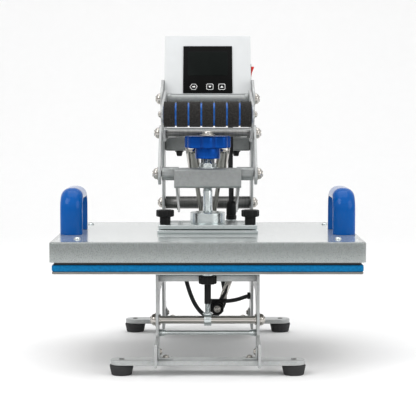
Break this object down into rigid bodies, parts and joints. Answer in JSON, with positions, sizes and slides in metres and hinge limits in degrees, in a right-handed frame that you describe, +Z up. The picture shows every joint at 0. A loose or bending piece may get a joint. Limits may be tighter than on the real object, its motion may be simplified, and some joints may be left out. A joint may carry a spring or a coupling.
{
  "type": "heat press",
  "caption": "Clamshell heat press with an over-centre toggle lever, heated platen with loop handles, silicone-padded lower platen and a tilted control head on a legged base.",
  "frame": {"origin": "on the floor, at the centre of the press's bounding box", "axes": "+Z up, +X to the operator's right, front of the press towards -Y"},
  "size_m": [0.507, 0.544, 0.563],
  "materials": {
    "grey_paint": "satin silver-grey powder coat with a fine metallic grain",
    "cover_paint": "semi-gloss silver-grey enamel",
    "case_paint": "satin pale grey powder coat",
    "black_rubber": "matt moulded rubber",
    "cable_sheath": "woven black cable sheath",
    "chrome": "bright nickel-chrome plating",
    "zinc_plate": "zinc plated steel",
    "dark_steel": "oiled turned steel",
    "platen_aluminium": "heat-darkened aluminium",
    "silicone": "matt blue silicone sponge",
    "black_plastic": "satin moulded plastic",
    "handle_blue": "glossy moulded plastic",
    "knob_blue": "blue anodised aluminium",
    "grip_foam": "matt closed-cell foam on a blue core tube",
    "display_glass": "dark gloss glass",
    "circuit_board": "green laminate",
    "switch_red": "glossy red plastic"
  },
  "bodies": {
    "base": {"side_plate_left": "grey_paint", "side_plate_right": "grey_paint", "front_foot_bar": "grey_paint", "rear_foot_bar": "grey_paint", "rubber_foot_front_left": "black_rubber", "rubber_foot_front_right": "black_rubber", "rubber_foot_rear_left": "black_rubber", "rubber_foot_rear_right": "black_rubber", "base_cross_rod": "chrome", "base_tie_rod": "zinc_plate", "front_cross_bar": "grey_paint", "platen_support_plate": "zinc_plate", "lower_platen": "platen_aluminium", "silicone_pad": "silicone", "support_post_eye": "zinc_plate", "main_pivot_rod": "chrome", "rear_cross_beam": "grey_paint", "spring_anchor": "grey_paint", "lever_pivot_axle": "chrome", "control_case": "case_paint", "control_panel": "case_paint", "display_glass": "display_glass", "control_board": "circuit_board", "power_inlet": "black_plastic", "heater_cable_base": "cable_sheath", "base_cable": "cable_sheath"},
    "head": {"head_beam": "grey_paint", "beam_shaft_left": "dark_steel", "beam_shaft_right": "dark_steel", "head_arm_left": "grey_paint", "head_arm_right": "grey_paint", "pivot_sleeve": "dark_steel", "heater_cable_head": "cable_sheath"},
    "upper_platen": {"platen_cover": "cover_paint", "heater_plate": "platen_aluminium", "mount_plate_lower": "zinc_plate", "mount_plate_upper": "zinc_plate", "spindle_cup": "zinc_plate", "loop_handle_left": "handle_blue", "loop_handle_right": "handle_blue", "cable_gland": "black_plastic"},
    "pressure_screw": {"spindle": "zinc_plate", "pressure_knob": "knob_blue"},
    "tee_knob_left": {"tee_knob_left": "black_plastic"},
    "tee_knob_right": {"tee_knob_right": "black_plastic"},
    "lever": {"lever_plate_left": "grey_paint", "lever_plate_right": "grey_paint", "lever_pivot_tube": "chrome", "knee_rod": "dark_steel", "grip_axle": "chrome"},
    "grip": {"roller_grip": "grip_foam"},
    "toggle_links": {"toggle_link_left": "grey_paint", "toggle_link_right": "grey_paint"},
    "spring_tubes": {"gas_spring_tube_left": "chrome", "gas_spring_tube_right": "chrome"},
    "spring_rod_left": {"gas_spring_rod_left": "chrome"},
    "spring_rod_right": {"gas_spring_rod_right": "chrome"},
    "support_pad": {"support_post_pad": "zinc_plate"},
    "support_screw": {"support_post_screw": "black_plastic"},
    "rocker": {"rocker_switch": "switch_red"}
  },
  "joints": [
    {"name": "head_hinge", "type": "hinge", "parent": "base", "child": "head", "pos_m": [0, 0.197, 0.25], "axis": [-1, 0, 0], "range_deg": [0, 25]},
    {"name": "lever_hinge", "type": "hinge", "parent": "base", "child": "lever", "pos_m": [0, 0.09, 0.445], "axis": [-1, 0, 0], "range_deg": [0, 90.5]},
    {"name": "toggle_link_hinge", "type": "hinge", "parent": "head", "child": "toggle_links", "pos_m": [0, -0.05, 0.316], "axis": [-1, 0, 0], "range_deg": [-56.2, 0]},
    {"name": "spring_tube_hinge", "type": "hinge", "parent": "head", "child": "spring_tubes", "pos_m": [0, 0.008, 0.356], "axis": [-1, 0, 0], "range_deg": [-5.6, 0]},
    {"name": "spring_rod_left_slide", "type": "slide", "parent": "spring_tubes", "child": "spring_rod_left", "axis": [0.084, 0.7618, -0.6423], "range_m": [0, 0.0135]},
    {"name": "spring_rod_right_slide", "type": "slide", "parent": "spring_tubes", "child": "spring_rod_right", "axis": [-0.084, 0.7618, -0.6423], "range_m": [0, 0.0135]},
    {"name": "platen_height_slide", "type": "slide", "parent": "head", "child": "upper_platen", "axis": [0, 0, 1], "range_m": [0, 0.006]},
    {"name": "pressure_screw_spin", "type": "hinge", "parent": "upper_platen", "child": "pressure_screw", "pos_m": [0, -0.05, 0.36], "axis": [0, 0, 1], "range_deg": [0, 1081]},
    {"name": "tee_knob_left_spin", "type": "hinge", "parent": "upper_platen", "child": "tee_knob_left", "pos_m": [-0.0726, -0.082, 0.25], "axis": [0, 0, 1], "continuous": true},
    {"name": "tee_knob_right_spin", "type": "hinge", "parent": "upper_platen", "child": "tee_knob_right", "pos_m": [0.0726, -0.082, 0.25], "axis": [0, 0, 1], "continuous": true},
    {"name": "grip_spin", "type": "hinge", "parent": "lever", "child": "grip", "pos_m": [0, -0.11, 0.4185], "axis": [1, 0, 0], "continuous": true},
    {"name": "support_pad_slide", "type": "slide", "parent": "base", "child": "support_pad", "axis": [0, 0, 1], "range_m": [-0.003, 0]},
    {"name": "support_screw_spin", "type": "hinge", "parent": "support_pad", "child": "support_screw", "pos_m": [0, -0.185, 0.15], "axis": [0, 0, 1], "range_deg": [-721, 0]},
    {"name": "rocker_hinge", "type": "hinge", "parent": "base", "child": "rocker", "pos_m": [0.0775, 0.19, 0.495], "axis": [0, 1, 0], "range_deg": [-22, 0]}
  ],
  "couplings": [
    {"joint": "lever_hinge", "follows": "head_hinge", "ratio": 3.6072},
    {"joint": "toggle_link_hinge", "follows": "head_hinge", "ratio": -2.2353},
    {"joint": "spring_tube_hinge", "follows": "head_hinge", "ratio": -0.21823},
    {"joint": "spring_rod_left_slide", "follows": "head_hinge", "m_per_rad": 0.030706},
    {"joint": "spring_rod_right_slide", "follows": "head_hinge", "m_per_rad": 0.030706},
    {"joint": "pressure_screw_spin", "follows": "platen_height_slide", "rad_per_m": 3141.6},
    {"joint": "support_screw_spin", "follows": "support_pad_slide", "rad_per_m": 4188.8}
  ]
}
